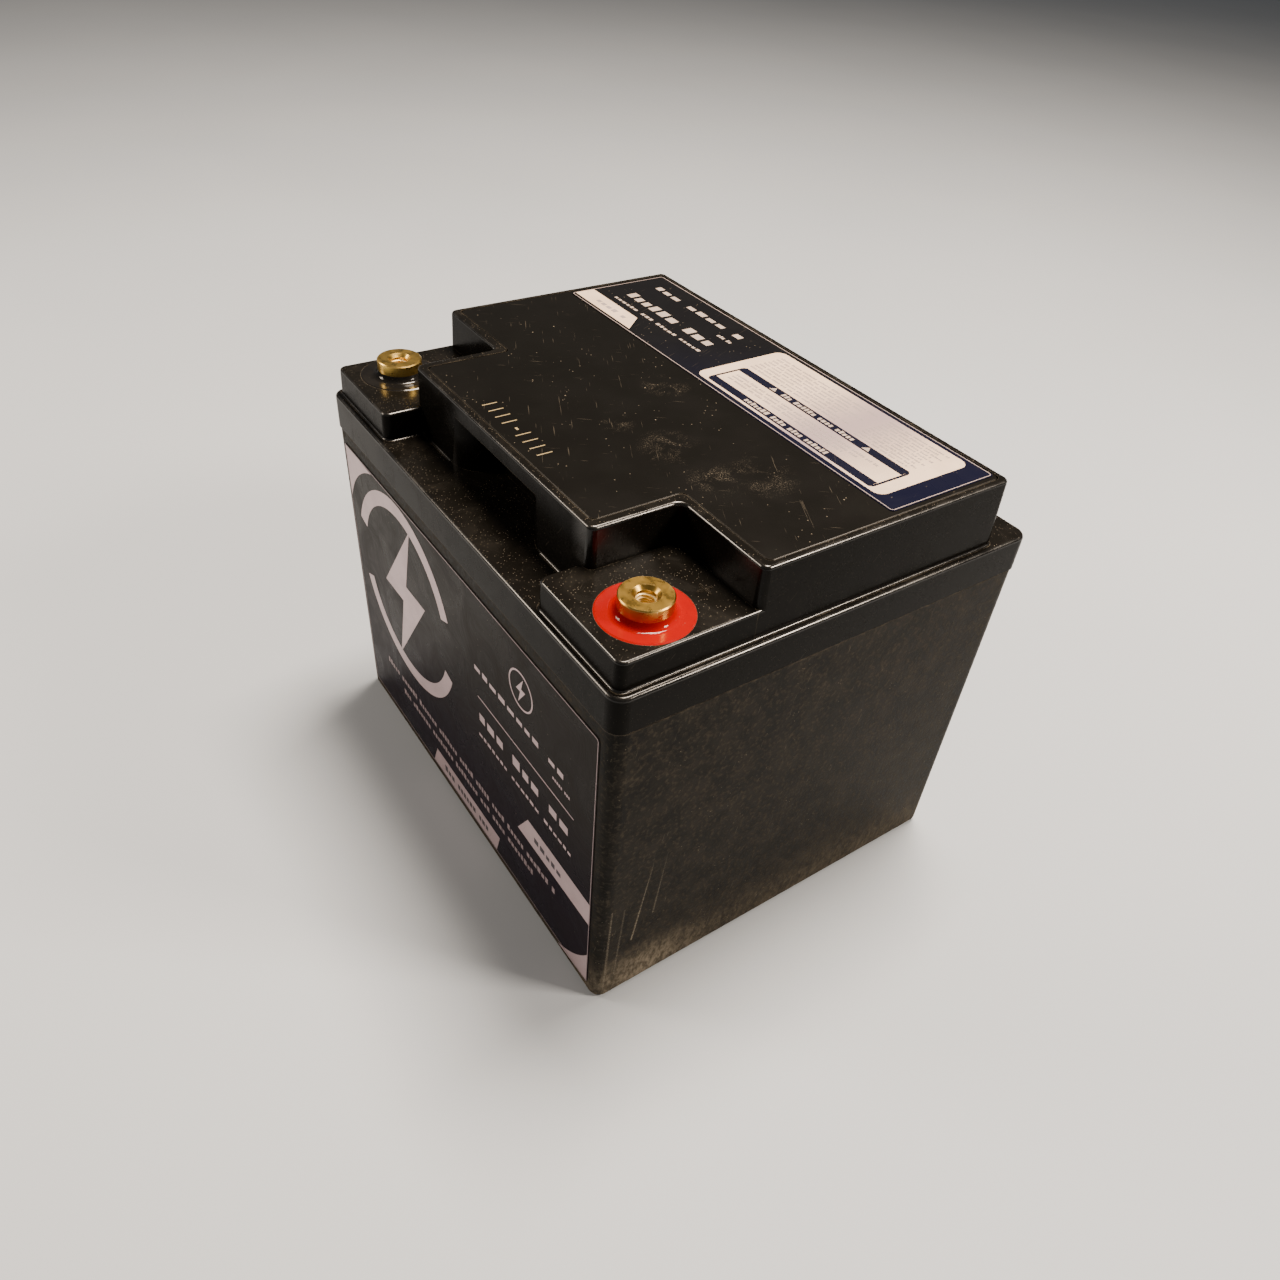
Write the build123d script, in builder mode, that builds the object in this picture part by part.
"""Sealed 12 V absorbed-glass-mat battery in a 197 x 165 x 170 mm case.

Frame: origin at the centre of the base, +X along the long side towards the positive terminal,
-Y towards the labelled front, +Z up. All sizes are in millimetres.
"""

from build123d import *
import math
import os

# ---------------------------------------------------------------- driving dimensions
CASE_LENGTH = 197.0            # over the lid skirt, along X
CASE_WIDTH = 165.0             # over the lid skirt, along Y
CASE_HEIGHT = 170.0            # base to the top of the cover plate
CORNER_RADIUS = 5.0            # vertical corners of the case

CONTAINER_TOP = 132.3          # rim of the container
CONTAINER_LENGTH = 194.4       # at the base
CONTAINER_WIDTH = 162.1        # at the base
CONTAINER_DRAFT = 0.45         # degrees, the walls lean out towards the rim
CONTAINER_WALL = 3.2
CONTAINER_FLOOR = 3.0
BASE_EDGE_RADIUS = 2.5

CELL_COUNT = 6
PARTITION = 2.0

BEAD_THICKNESS = 0.6           # epoxy joint between the container and the lid
BEAD_SETBACK = 0.9             # how far the joint lies inside the skirt, as a visible groove

LEDGE_TOP = 146.0              # top of the lid skirt
LEDGE_EDGE_RADIUS = 1.4
LEDGE_THICKNESS = 3.0
LID_WALL = 3.2
FOOT_RADIUS = 0.7              # fillet where the block and the pads rise from the ledges
LID_DRAFT = 1.67               # degrees, on the raised block and the terminal pads

BLOCK_HALF_LENGTH = 95.8       # raised block at ledge level
BLOCK_HALF_WIDTH = 66.1
BLOCK_CORNER_RADIUS = 3.0
BLOCK_EDGE_RADIUS = 1.2
NOTCH_X = 57.7                 # side wall of a terminal notch at ledge level
NOTCH_Y = -34.9                # back wall of a terminal notch at ledge level
NOTCH_INNER_RADIUS = 2.5

PAD_TOP = 156.0                # terminal pads
PAD_INNER_X = 52.7
PAD_FRONT_Y = -80.2
PAD_REAR_Y = -20.0             # hidden end of the pad, inside the raised block
PAD_EDGE_RADIUS = 1.0
SEAT_DEPTH = 0.5               # how far the raised block and the pads are set into the rim
PAD_REACH = 0.5                # how far behind the notch wall's foot the pad ends

GRIP_TOP = 164.2               # underside of the lifting lip
GRIP_DEPTH_Y = 53.5            # back wall of the finger recess, from the centre plane
GRIP_FLARE_RADIUS = 14.3       # rounded sides of the finger recess
GRIP_FLARE_X = 31.2
GRIP_FLARE_Y = 51.9

COVER_THICKNESS = 2.5
COVER_HALF_LENGTH = 92.7
COVER_HALF_WIDTH = 62.7
COVER_NOTCH_X = 53.3
COVER_NOTCH_Y = -31.0
COVER_CORNER_RADIUS = 2.0
COVER_GAP = 0.3                # seam round the cover plate

CHAMBER_LENGTH = 178.0         # valve chamber under the cover plate
CHAMBER_WIDTH = 26.0
CHAMBER_RADIUS = 6.0
CHAMBER_CENTRE_Y = 8.0
CHAMBER_FLOOR = 156.5
CHAMBER_WALL = 2.5

NIPPLE_RADIUS = 4.5
NIPPLE_TOP = 164.0
VENT_RADIUS = 1.5

VALVE_RADIUS = 6.2
VALVE_CLEARANCE = 0.08         # running clearance on the nipple
VALVE_SKIRT_BOTTOM = 158.2
VALVE_TOP = 165.6

TERMINAL_X = 80.3
TERMINAL_Y = -61.9
TERMINAL_TOP = 162.2
TERMINAL_RADIUS = 8.0
TERMINAL_EDGE = 0.35
TERMINAL_SHOULDER = 151.9
STEM_RADIUS = 5.95
STEM_BOTTOM = 140.0
THREAD_RADIUS = 3.0            # M6 major radius
THREAD_BOTTOM = 149.6
COUNTERSINK_RADIUS = 4.15

WELL_RADIUS = 14.2             # epoxy well round a terminal
WELL_FLOOR = 149.5
STEM_HOLE_RADIUS = 6.0
MENISCUS_TOP = 158.4
MENISCUS_RADIUS = 2.6
EPOXY_CROWN = 0.25             # how far the epoxy stands above the pad
O_RING_WIRE = 1.2
MARK_SIZE = 5.0                # raised plus and minus marks behind the terminals
MARK_LINE = 0.7
MARK_HEIGHT = 0.3
MARK_Y = -41.5

POSITIVE_PLATES = 5
POSITIVE_THICKNESS = 2.2
NEGATIVE_THICKNESS = 1.6
MAT_THICKNESS = 0.9
PLATE_WIDTH = 148.0
PLATE_BOTTOM = 5.0
PLATE_TOP = 112.0
MAT_WIDTH = 152.0
MAT_TOP = 114.0
LUG_WIDTH = 12.0
STRAP_BOTTOM = 117.0
STRAP_TOP = 126.0
STRAP_WIDTH = 14.0
STRAP_Y = -TERMINAL_Y
WELD_RADIUS = 4.0

LABEL_THICKNESS = 0.2
LABEL_CORNER_RADIUS = 1.5
FRONT_LABEL_LENGTH = 184.0
FRONT_LABEL_BOTTOM = 5.2
FRONT_LABEL_TOP = 127.2
TOP_LABEL_LENGTH = 182.0
TOP_LABEL_WIDTH = 45.0
TOP_LABEL_CENTRE_Y = 39.6

# ---------------------------------------------------------------- derived sizes
INNER_LENGTH = CONTAINER_LENGTH - 2 * CONTAINER_WALL
INNER_WIDTH = CONTAINER_WIDTH - 2 * CONTAINER_WALL
CELL_PITCH = (INNER_LENGTH + PARTITION) / CELL_COUNT
LID_BOTTOM = CONTAINER_TOP + BEAD_THICKNESS
LID_INNER_LENGTH = CASE_LENGTH - 2 * (LID_WALL + 1.0)
LID_INNER_WIDTH = CASE_WIDTH - 2 * (LID_WALL + 1.6)
RECESS_FLOOR = CASE_HEIGHT - COVER_THICKNESS
BLOCK_ROOF = RECESS_FLOOR - LID_WALL
NEGATIVE_PLATES = POSITIVE_PLATES + 1
STACK = (POSITIVE_PLATES * POSITIVE_THICKNESS + NEGATIVE_PLATES * NEGATIVE_THICKNESS
         + 2 * POSITIVE_PLATES * MAT_THICKNESS)
PLATE_STEP = POSITIVE_THICKNESS + NEGATIVE_THICKNESS + 2 * MAT_THICKNESS

cell_centres = [CELL_PITCH * ((CELL_COUNT - 1) / 2 - index) for index in range(CELL_COUNT)]
partition_centres = [CELL_PITCH * (CELL_COUNT / 2 - 1 - index) for index in range(CELL_COUNT - 1)]

os.makedirs("parts", exist_ok=True)


def save(part, name):
    """Label a finished piece and write it as its own STEP file."""
    part.label = name
    export_step(part, f"parts/{name}.step")


def at_notch(vertex, notch_x, notch_y):
    """True at the two inward corners of the notched outline."""
    return abs(abs(vertex.X) - notch_x) < 0.01 and abs(vertex.Y - notch_y) < 0.01


def at_corner(vertex, half_length, half_width, notch_x, notch_y):
    """True at the six outward corners of the notched outline."""
    corners = [(half_length, half_width), (half_length, notch_y), (notch_x, -half_width)]
    return any(abs(abs(vertex.X) - x) < 0.01 and abs(vertex.Y - y) < 0.01 for x, y in corners)


def notched_outline(half_length, half_width, notch_x, notch_y, corner, inner):
    """Plan of the raised block: a rectangle whose two front corners are cut back as notches."""
    with BuildSketch(Plane.XY) as outline:
        with BuildLine():
            Polyline(
                (half_length, half_width),
                (-half_length, half_width),
                (-half_length, notch_y),
                (-notch_x, notch_y),
                (-notch_x, -half_width),
                (notch_x, -half_width),
                (notch_x, notch_y),
                (half_length, notch_y),
                close=True,
            )
        make_face()
        fillet(outline.vertices().filter_by(lambda v: at_notch(v, notch_x, notch_y)), inner)
        fillet(outline.vertices().filter_by(lambda v: at_corner(v, half_length, half_width,
                                                                notch_x, notch_y)), corner)
    return outline.sketch


def grip_outline(side, grow=0.0):
    """Plan of a finger recess: flat back wall with convex flared sides.

    side is -1 at the front and +1 at the back; grow widens the recess by a wall thickness.
    """
    radius = GRIP_FLARE_RADIUS - grow
    back = GRIP_DEPTH_Y - grow
    reach = BLOCK_HALF_WIDTH + 6.0
    half_back = GRIP_FLARE_X - math.sqrt(radius**2 - (back - GRIP_FLARE_Y) ** 2)
    middle_angle = math.radians(135.0)
    middle = (
        GRIP_FLARE_X + radius * math.cos(middle_angle),
        GRIP_FLARE_Y + radius * math.sin(middle_angle),
    )
    mouth = GRIP_FLARE_Y + radius
    with BuildSketch(Plane.XY) as outline:
        with BuildLine():
            Line((-half_back, side * back), (half_back, side * back))
            ThreePointArc(
                (half_back, side * back),
                (middle[0], side * middle[1]),
                (GRIP_FLARE_X, side * mouth),
            )
            Polyline(
                (GRIP_FLARE_X, side * mouth),
                (GRIP_FLARE_X, side * reach),
                (-GRIP_FLARE_X, side * reach),
                (-GRIP_FLARE_X, side * mouth),
            )
            ThreePointArc(
                (-GRIP_FLARE_X, side * mouth),
                (-middle[0], side * middle[1]),
                (-half_back, side * back),
            )
        make_face()
    return outline.sketch


def container():
    """Ribbed box with five partitions that divide it into six cells."""
    with BuildPart() as box:
        with BuildSketch(Plane.XY):
            RectangleRounded(CONTAINER_LENGTH, CONTAINER_WIDTH, CORNER_RADIUS - 0.8)
        extrude(amount=CONTAINER_TOP, taper=-CONTAINER_DRAFT)
        fillet(box.faces().sort_by(Axis.Z)[0].edges(), BASE_EDGE_RADIUS)
        with BuildSketch(Plane.XY.offset(CONTAINER_FLOOR)):
            with Locations([(x, 0) for x in cell_centres]):
                RectangleRounded(CELL_PITCH - PARTITION, INNER_WIDTH, 1.0)
        extrude(amount=CONTAINER_TOP - CONTAINER_FLOOR, mode=Mode.SUBTRACT)
        for index, x in enumerate(partition_centres):
            side = 1 if index % 2 == 0 else -1
            weld_height = (STRAP_BOTTOM + STRAP_TOP) / 2
            with Locations(Location((x, side * STRAP_Y, weld_height), (0, 90, 0))):
                Cylinder(WELD_RADIUS, PARTITION + 1.0, mode=Mode.SUBTRACT)
    save(box.part, "container")


def adhesive_bead():
    """Epoxy joint that seals the lid to the container rim and to every partition."""
    with BuildPart() as bead:
        with BuildSketch(Plane.XY.offset(CONTAINER_TOP)):
            RectangleRounded(CASE_LENGTH - 2 * BEAD_SETBACK, CASE_WIDTH - 2 * BEAD_SETBACK,
                             CORNER_RADIUS - BEAD_SETBACK)
            with Locations([(x, 0) for x in cell_centres]):
                RectangleRounded(CELL_PITCH - PARTITION, INNER_WIDTH, 1.0, mode=Mode.SUBTRACT)
        extrude(amount=BEAD_THICKNESS)
    save(bead.part, "lid_adhesive_bead")


def terminal_pad():
    """Raised pad that carries the positive terminal."""
    with BuildPart() as pad:
        with BuildSketch(Plane.XY.offset(LEDGE_TOP)) as base:
            with BuildLine():
                Polyline(
                    (BLOCK_HALF_LENGTH, PAD_REAR_Y),
                    (PAD_INNER_X, PAD_REAR_Y),
                    (PAD_INNER_X, PAD_FRONT_Y),
                    (BLOCK_HALF_LENGTH, PAD_FRONT_Y),
                    close=True,
                )
            make_face()
            fillet(base.vertices().group_by(Axis.Y)[0], BLOCK_CORNER_RADIUS)
        extrude(amount=PAD_TOP - LEDGE_TOP, taper=LID_DRAFT)
        rim = pad.faces().sort_by(Axis.Z)[-1].edges()
        fillet(rim.filter_by(lambda edge: edge.center().Y < PAD_REAR_Y - 1), PAD_EDGE_RADIUS)
    return pad.part


def lies_on_ledge(edge):
    """True for the edges where the raised block and the pads meet the ledges."""
    box = edge.bounding_box()
    middle = edge.center()
    level = abs(box.min.Z - LEDGE_TOP) < 0.01 and abs(box.max.Z - LEDGE_TOP) < 0.01
    return level and abs(middle.X) < BLOCK_HALF_LENGTH + 0.05 and abs(middle.Y) < abs(PAD_FRONT_Y) + 0.05


def raised_outline():
    """The raised block as a plain solid, drafted and with its top edge rounded."""
    with BuildPart() as block:
        with BuildSketch(Plane.XY.offset(LEDGE_TOP)):
            add(notched_outline(BLOCK_HALF_LENGTH, BLOCK_HALF_WIDTH, NOTCH_X, NOTCH_Y,
                                BLOCK_CORNER_RADIUS, NOTCH_INNER_RADIUS))
        extrude(amount=CASE_HEIGHT - LEDGE_TOP, taper=LID_DRAFT)
        fillet(block.faces().sort_by(Axis.Z)[-1].edges(), BLOCK_EDGE_RADIUS)
    return block.part


def block_hollow():
    """Plan of the hollow inside the raised block, clear of the finger recesses."""
    with BuildSketch(Plane.XY) as hollow:
        add(notched_outline(BLOCK_HALF_LENGTH - LID_WALL, BLOCK_HALF_WIDTH - LID_WALL,
                            NOTCH_X - LID_WALL, NOTCH_Y + LID_WALL, 1.0, 1.0))
        for side in (-1, 1):
            add(grip_outline(side, LID_WALL), mode=Mode.SUBTRACT)
    return hollow.sketch


def lid_moulding():
    """The whole lid: skirt, ledges, raised block, terminal pads and finger recesses."""
    pad = terminal_pad()
    with BuildPart() as shell:
        with BuildSketch(Plane.XY.offset(LID_BOTTOM)):
            RectangleRounded(CASE_LENGTH, CASE_WIDTH, CORNER_RADIUS)
        extrude(amount=LEDGE_TOP - LID_BOTTOM)
        fillet(shell.faces().sort_by(Axis.Z)[-1].edges(), LEDGE_EDGE_RADIUS)
        add(raised_outline())
        add(pad)
        mirror(pad, about=Plane.YZ)
        fillet(shell.edges().filter_by(lies_on_ledge), FOOT_RADIUS)
        for side in (-1, 1):
            with BuildSketch(Plane.XY.offset(LEDGE_TOP)):
                add(grip_outline(side))
            extrude(amount=GRIP_TOP - LEDGE_TOP, mode=Mode.SUBTRACT)
        # hollows of the skirt and of the raised block
        with BuildSketch(Plane.XY.offset(LID_BOTTOM)):
            RectangleRounded(LID_INNER_LENGTH, LID_INNER_WIDTH, 2.0)
        extrude(amount=LEDGE_TOP - LEDGE_THICKNESS - LID_BOTTOM, mode=Mode.SUBTRACT)
        with BuildSketch(Plane.XY.offset(LEDGE_TOP - LEDGE_THICKNESS)):
            add(block_hollow())
        extrude(amount=BLOCK_ROOF - LEDGE_TOP + LEDGE_THICKNESS, mode=Mode.SUBTRACT)
        # seat of the cover plate, and the opening over the valve chamber
        with BuildSketch(Plane.XY.offset(RECESS_FLOOR)):
            add(notched_outline(COVER_HALF_LENGTH + COVER_GAP, COVER_HALF_WIDTH + COVER_GAP,
                                COVER_NOTCH_X + COVER_GAP, COVER_NOTCH_Y - COVER_GAP,
                                COVER_CORNER_RADIUS, COVER_CORNER_RADIUS))
        extrude(amount=COVER_THICKNESS + 1.0, mode=Mode.SUBTRACT)
        with BuildSketch(Plane.XY.offset(BLOCK_ROOF)):
            with Locations((0, CHAMBER_CENTRE_Y)):
                RectangleRounded(CHAMBER_LENGTH, CHAMBER_WIDTH, CHAMBER_RADIUS)
        extrude(amount=RECESS_FLOOR - BLOCK_ROOF, mode=Mode.SUBTRACT)
        # epoxy wells and stem holes of the terminals
        terminals = [(side * TERMINAL_X, TERMINAL_Y) for side in (-1, 1)]
        with BuildSketch(Plane.XY.offset(WELL_FLOOR)):
            with Locations(terminals):
                Circle(WELL_RADIUS)
        extrude(amount=PAD_TOP - WELL_FLOOR + 1.0, mode=Mode.SUBTRACT)
        with BuildSketch(Plane.XY.offset(LEDGE_TOP - LEDGE_THICKNESS)):
            with Locations(terminals):
                Circle(STEM_HOLE_RADIUS)
        extrude(amount=WELL_FLOOR - LEDGE_TOP + LEDGE_THICKNESS, mode=Mode.SUBTRACT)
        # polarity marks: a plus and a minus, raised on the pads
        with BuildSketch(Plane.XY.offset(PAD_TOP)):
            with Locations((TERMINAL_X, MARK_Y), (-TERMINAL_X, MARK_Y)):
                Rectangle(MARK_SIZE, MARK_LINE)
            with Locations((TERMINAL_X, MARK_Y)):
                Rectangle(MARK_LINE, MARK_SIZE)
        extrude(amount=MARK_HEIGHT)
    return shell.part


def foot(raised):
    """What continues a raised piece of the lid down into its shallow seat in the rim."""
    soles = raised.faces().filter_by(lambda face: abs(face.bounding_box().max.Z - LEDGE_TOP) < 0.01)
    with BuildPart() as seat:
        extrude(soles, amount=SEAT_DEPTH, dir=(0, 0, -1))
    return seat.part


def lid():
    """The lid as its rim with the ledges, its two terminal pads and its raised block."""
    moulding = lid_moulding()
    block_solid = raised_outline()
    ledge_plane = Plane.XY.offset(LEDGE_TOP)
    pad_length = CASE_LENGTH / 2 - PAD_INNER_X + FOOT_RADIUS + 0.1
    pad_width = CASE_WIDTH / 2 + NOTCH_Y + PAD_REACH
    pad_height = PAD_TOP + MARK_HEIGHT - LEDGE_TOP
    pad_middle_x = CASE_LENGTH / 2 - pad_length / 2
    pad_middle_y = -CASE_WIDTH / 2 + pad_width / 2
    pads = []
    for polarity, side in (("positive", 1), ("negative", -1)):
        with BuildPart() as pad:
            add(moulding)
            with Locations((side * pad_middle_x, pad_middle_y, LEDGE_TOP + pad_height / 2)):
                Box(pad_length, pad_width, pad_height, mode=Mode.INTERSECT)
            add(block_solid, mode=Mode.SUBTRACT)
            add(foot(pad.part))
        save(pad.part, f"{polarity}_terminal_pad")
        pads.append(pad.part)

    with BuildPart() as block:
        add(moulding)
        split(bisect_by=ledge_plane, keep=Keep.TOP)
        for pad in pads:
            add(pad, mode=Mode.SUBTRACT)
        add(foot(block.part))
    save(block.part, "lid_block")

    with BuildPart() as rim:
        add(moulding)
        split(bisect_by=ledge_plane, keep=Keep.BOTTOM)
        for raised in (*pads, block.part):
            add(raised, mode=Mode.SUBTRACT)
    save(rim.part, "lid_rim")


def lid_ribs():
    """Ribs inside the lid that stand on the container partitions and part the cells."""
    with BuildPart() as ribs:
        for x in partition_centres:
            with BuildSketch(Plane.XY.offset(LID_BOTTOM)):
                RectangleRounded(LID_INNER_LENGTH, LID_INNER_WIDTH, 2.0)
                with Locations((x, 0)):
                    Rectangle(PARTITION, CASE_WIDTH, mode=Mode.INTERSECT)
            extrude(amount=LEDGE_TOP - LEDGE_THICKNESS - LID_BOTTOM)
            with BuildSketch(Plane.XY.offset(LEDGE_TOP - LEDGE_THICKNESS)):
                add(block_hollow())
                with Locations((x, 0)):
                    Rectangle(PARTITION, CASE_WIDTH, mode=Mode.INTERSECT)
            extrude(amount=BLOCK_ROOF - LEDGE_TOP + LEDGE_THICKNESS)
        with BuildSketch(Plane.XY.offset(CHAMBER_FLOOR - CHAMBER_WALL)):
            with Locations((0, CHAMBER_CENTRE_Y)):
                RectangleRounded(CHAMBER_LENGTH + 2 * CHAMBER_WALL, CHAMBER_WIDTH + 2 * CHAMBER_WALL,
                                 CHAMBER_RADIUS + CHAMBER_WALL)
        extrude(amount=BLOCK_ROOF - CHAMBER_FLOOR + CHAMBER_WALL, mode=Mode.SUBTRACT)
    save(ribs.part, "lid_partition_ribs")


def valve_chamber():
    """Tub under the opening of the roof, with one vented nipple for each cell."""
    with BuildPart() as tub:
        with BuildSketch(Plane.XY.offset(CHAMBER_FLOOR - CHAMBER_WALL)):
            with Locations((0, CHAMBER_CENTRE_Y)):
                RectangleRounded(CHAMBER_LENGTH + 2 * CHAMBER_WALL, CHAMBER_WIDTH + 2 * CHAMBER_WALL,
                                 CHAMBER_RADIUS + CHAMBER_WALL)
        extrude(amount=BLOCK_ROOF - CHAMBER_FLOOR + CHAMBER_WALL)
        with BuildSketch(Plane.XY.offset(CHAMBER_FLOOR)):
            with Locations((0, CHAMBER_CENTRE_Y)):
                RectangleRounded(CHAMBER_LENGTH, CHAMBER_WIDTH, CHAMBER_RADIUS)
        extrude(amount=BLOCK_ROOF - CHAMBER_FLOOR, mode=Mode.SUBTRACT)
        with BuildSketch(Plane.XY.offset(CHAMBER_FLOOR)):
            with Locations([(x, CHAMBER_CENTRE_Y) for x in cell_centres]):
                Circle(NIPPLE_RADIUS)
        extrude(amount=NIPPLE_TOP - CHAMBER_FLOOR)
        with BuildSketch(Plane.XY.offset(CHAMBER_FLOOR - CHAMBER_WALL)):
            with Locations([(x, CHAMBER_CENTRE_Y) for x in cell_centres]):
                Circle(VENT_RADIUS)
        extrude(amount=NIPPLE_TOP - CHAMBER_FLOOR + CHAMBER_WALL, mode=Mode.SUBTRACT)
    save(tub.part, "valve_chamber")


def top_cover():
    """Flush plate that closes the valve chamber."""
    with BuildPart() as plate:
        with BuildSketch(Plane.XY.offset(RECESS_FLOOR)):
            add(notched_outline(COVER_HALF_LENGTH, COVER_HALF_WIDTH, COVER_NOTCH_X, COVER_NOTCH_Y,
                                COVER_CORNER_RADIUS, COVER_CORNER_RADIUS))
        extrude(amount=COVER_THICKNESS)
        chamfer(plate.faces().sort_by(Axis.Z)[-1].edges(), 0.2)
    save(plate.part, "top_cover")


def valve(index, x):
    """Rubber cap that seals one nipple and lifts to let gas out."""
    with BuildPart() as cap:
        with BuildSketch(Plane.XY.offset(VALVE_SKIRT_BOTTOM)):
            with Locations((x, CHAMBER_CENTRE_Y)):
                Circle(VALVE_RADIUS)
        extrude(amount=VALVE_TOP - VALVE_SKIRT_BOTTOM)
        fillet(cap.faces().sort_by(Axis.Z)[-1].edges(), 0.6)
        with BuildSketch(Plane.XY.offset(VALVE_SKIRT_BOTTOM)):
            with Locations((x, CHAMBER_CENTRE_Y)):
                Circle(NIPPLE_RADIUS + VALVE_CLEARANCE)
        extrude(amount=NIPPLE_TOP - VALVE_SKIRT_BOTTOM, mode=Mode.SUBTRACT)
    save(cap.part, f"vent_valve_{index}")


def upright(x, y):
    """Plane through a vertical axis at (x, y), with its local Y along +Z."""
    return Plane(origin=(x, y, 0), x_dir=(1, 0, 0), z_dir=(0, -1, 0))


def terminal(name, x):
    """Brass insert: round head with a countersunk M6 thread, on a stem through the pad."""
    thread_top = TERMINAL_TOP - (COUNTERSINK_RADIUS - THREAD_RADIUS)
    axis = Axis((x, TERMINAL_Y, 0), (0, 0, 1))
    with BuildPart() as insert:
        with BuildSketch(upright(x, TERMINAL_Y)):
            with BuildLine():
                Polyline(
                    (0, STEM_BOTTOM),
                    (STEM_RADIUS, STEM_BOTTOM),
                    (STEM_RADIUS, TERMINAL_SHOULDER),
                    (TERMINAL_RADIUS, TERMINAL_SHOULDER),
                    (TERMINAL_RADIUS, TERMINAL_TOP - TERMINAL_EDGE),
                    (TERMINAL_RADIUS - TERMINAL_EDGE, TERMINAL_TOP),
                    (COUNTERSINK_RADIUS, TERMINAL_TOP),
                    (THREAD_RADIUS, thread_top),
                    (THREAD_RADIUS, THREAD_BOTTOM),
                    (0, THREAD_BOTTOM),
                    close=True,
                )
            make_face()
        revolve(axis=axis)
    save(insert.part, name)


def o_ring(name, x):
    """Rubber ring under the terminal head, squeezed to a flat-sided section."""
    axis = Axis((x, TERMINAL_Y, 0), (0, 0, 1))
    with BuildPart() as ring:
        with BuildSketch(upright(x, TERMINAL_Y)):
            with Locations((STEM_RADIUS + 0.05 + O_RING_WIRE, WELL_FLOOR + O_RING_WIRE)):
                Circle(O_RING_WIRE)
        revolve(axis=axis)
    save(ring.part, name)


def epoxy_seal(name, x):
    """Cast epoxy round a terminal: flat at the pad, drawn up the brass as a meniscus."""
    axis = Axis((x, TERMINAL_Y, 0), (0, 0, 1))
    surface = PAD_TOP + EPOXY_CROWN
    ring_outer = STEM_RADIUS + 0.05 + 2 * O_RING_WIRE
    meniscus_end = TERMINAL_RADIUS + MENISCUS_RADIUS
    with BuildPart() as seal:
        with BuildSketch(upright(x, TERMINAL_Y)):
            with BuildLine():
                Polyline(
                    (TERMINAL_RADIUS, MENISCUS_TOP),
                    (TERMINAL_RADIUS, TERMINAL_SHOULDER),
                    (ring_outer, TERMINAL_SHOULDER),
                    (ring_outer, WELL_FLOOR),
                    (WELL_RADIUS, WELL_FLOOR),
                    (WELL_RADIUS, PAD_TOP),
                    (WELL_RADIUS - 0.5, surface),
                    (meniscus_end, surface),
                )
                Spline(
                    (meniscus_end, surface),
                    (TERMINAL_RADIUS, MENISCUS_TOP),
                    tangents=[(-1, 0), (-0.45, 1)],
                )
            make_face()
        revolve(axis=axis)
    save(seal.part, name)


def lead_post(name, x):
    """Lead post between the cell strap and the brass insert."""
    with BuildPart() as post:
        with BuildSketch(Plane.XY.offset(STRAP_TOP)):
            with Locations((x, TERMINAL_Y)):
                Circle(STEM_RADIUS)
        extrude(amount=STEM_BOTTOM - STRAP_TOP)
    save(post.part, name)


def plate_group(name, centre, first, count, thickness, lug_y):
    """Cast group of one polarity: grid plates with lugs, joined by a strap."""
    first_x = centre - STACK / 2 + first + thickness / 2
    places = [first_x + PLATE_STEP * index for index in range(count)]
    with BuildPart() as group:
        with BuildSketch(Plane.XY.offset(PLATE_BOTTOM)):
            with Locations([(x, 0) for x in places]):
                Rectangle(thickness, PLATE_WIDTH)
        extrude(amount=PLATE_TOP - PLATE_BOTTOM)
        with BuildSketch(Plane.XY.offset(PLATE_TOP)):
            with Locations([(x, lug_y) for x in places]):
                Rectangle(thickness, LUG_WIDTH)
        extrude(amount=STRAP_BOTTOM - PLATE_TOP)
        with BuildSketch(Plane.XY.offset(STRAP_BOTTOM)):
            with Locations((centre, lug_y)):
                Rectangle(STACK, STRAP_WIDTH)
        extrude(amount=STRAP_TOP - STRAP_BOTTOM)
    save(group.part, name)


def glass_mats(name, centre):
    """Absorbent glass mats, one on each side of every positive plate."""
    start = centre - STACK / 2
    places = []
    for index in range(POSITIVE_PLATES):
        left = start + PLATE_STEP * index + NEGATIVE_THICKNESS + MAT_THICKNESS / 2
        places += [left, left + MAT_THICKNESS + POSITIVE_THICKNESS]
    with BuildPart() as mats:
        with BuildSketch(Plane.XY.offset(CONTAINER_FLOOR)):
            with Locations([(x, 0) for x in places]):
                Rectangle(MAT_THICKNESS, MAT_WIDTH)
        extrude(amount=MAT_TOP - CONTAINER_FLOOR)
    save(mats.part, name)


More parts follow.
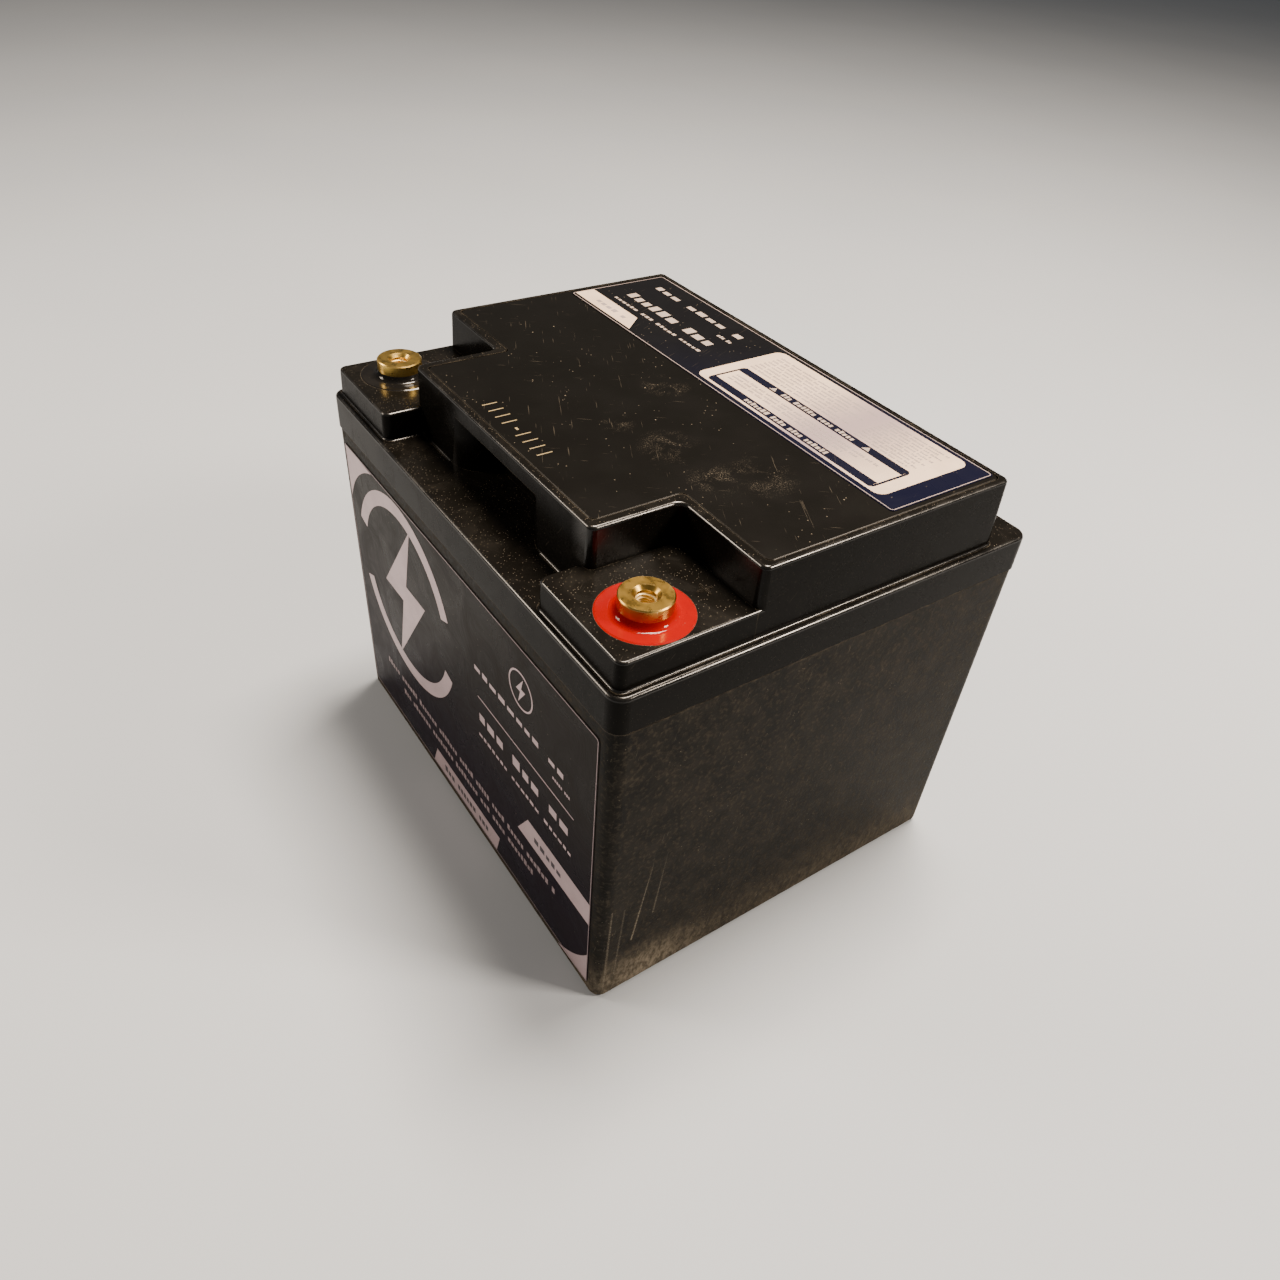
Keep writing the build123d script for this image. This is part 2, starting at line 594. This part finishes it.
def cell_weld(index, x):
    """Lead weld that joins two cell straps through a hole in the partition."""
    side = 1 if index % 2 == 0 else -1
    gap = CELL_PITCH - STACK
    with BuildPart() as weld:
        with Locations(Location((x, side * STRAP_Y, (STRAP_BOTTOM + STRAP_TOP) / 2), (0, 90, 0))):
            Cylinder(WELD_RADIUS, gap)
    save(weld.part, f"cell_weld_{index + 1}_{index + 2}")


def front_label():
    """Printed film on the leaning front wall of the container."""
    lean = math.radians(CONTAINER_DRAFT)
    middle = (FRONT_LABEL_BOTTOM + FRONT_LABEL_TOP) / 2
    wall_y = -(CONTAINER_WIDTH / 2 + middle * math.tan(lean))
    wall = Plane(origin=(0, wall_y, middle), x_dir=(1, 0, 0),
                 z_dir=(0, -math.cos(lean), -math.sin(lean)))
    with BuildPart() as film:
        with BuildSketch(wall):
            RectangleRounded(FRONT_LABEL_LENGTH, FRONT_LABEL_TOP - FRONT_LABEL_BOTTOM,
                             LABEL_CORNER_RADIUS)
        extrude(amount=LABEL_THICKNESS)
    save(film.part, "front_label")


def top_label():
    """Printed film on the back half of the cover plate."""
    with BuildPart() as film:
        with BuildSketch(Plane.XY.offset(CASE_HEIGHT)):
            with Locations((0, TOP_LABEL_CENTRE_Y)):
                RectangleRounded(TOP_LABEL_LENGTH, TOP_LABEL_WIDTH, LABEL_CORNER_RADIUS)
        extrude(amount=LABEL_THICKNESS)
    save(film.part, "top_label")


container()
adhesive_bead()
lid()
lid_ribs()
valve_chamber()
top_cover()
front_label()
top_label()

for polarity, side in (("positive", 1), ("negative", -1)):
    terminal(f"{polarity}_terminal", side * TERMINAL_X)
    o_ring(f"{polarity}_o_ring", side * TERMINAL_X)
    epoxy_seal(f"{polarity}_epoxy_seal", side * TERMINAL_X)
    lead_post(f"{polarity}_post", side * TERMINAL_X)

for index, centre in enumerate(cell_centres):
    number = index + 1
    positive_side = -1 if index % 2 == 0 else 1
    plate_group(f"cell_{number}_positive_plates", centre, NEGATIVE_THICKNESS + MAT_THICKNESS,
                POSITIVE_PLATES, POSITIVE_THICKNESS, positive_side * STRAP_Y)
    plate_group(f"cell_{number}_negative_plates", centre, 0.0,
                NEGATIVE_PLATES, NEGATIVE_THICKNESS, -positive_side * STRAP_Y)
    glass_mats(f"cell_{number}_glass_mats", centre)
    valve(number, centre)

for index, x in enumerate(partition_centres):
    cell_weld(index, x)
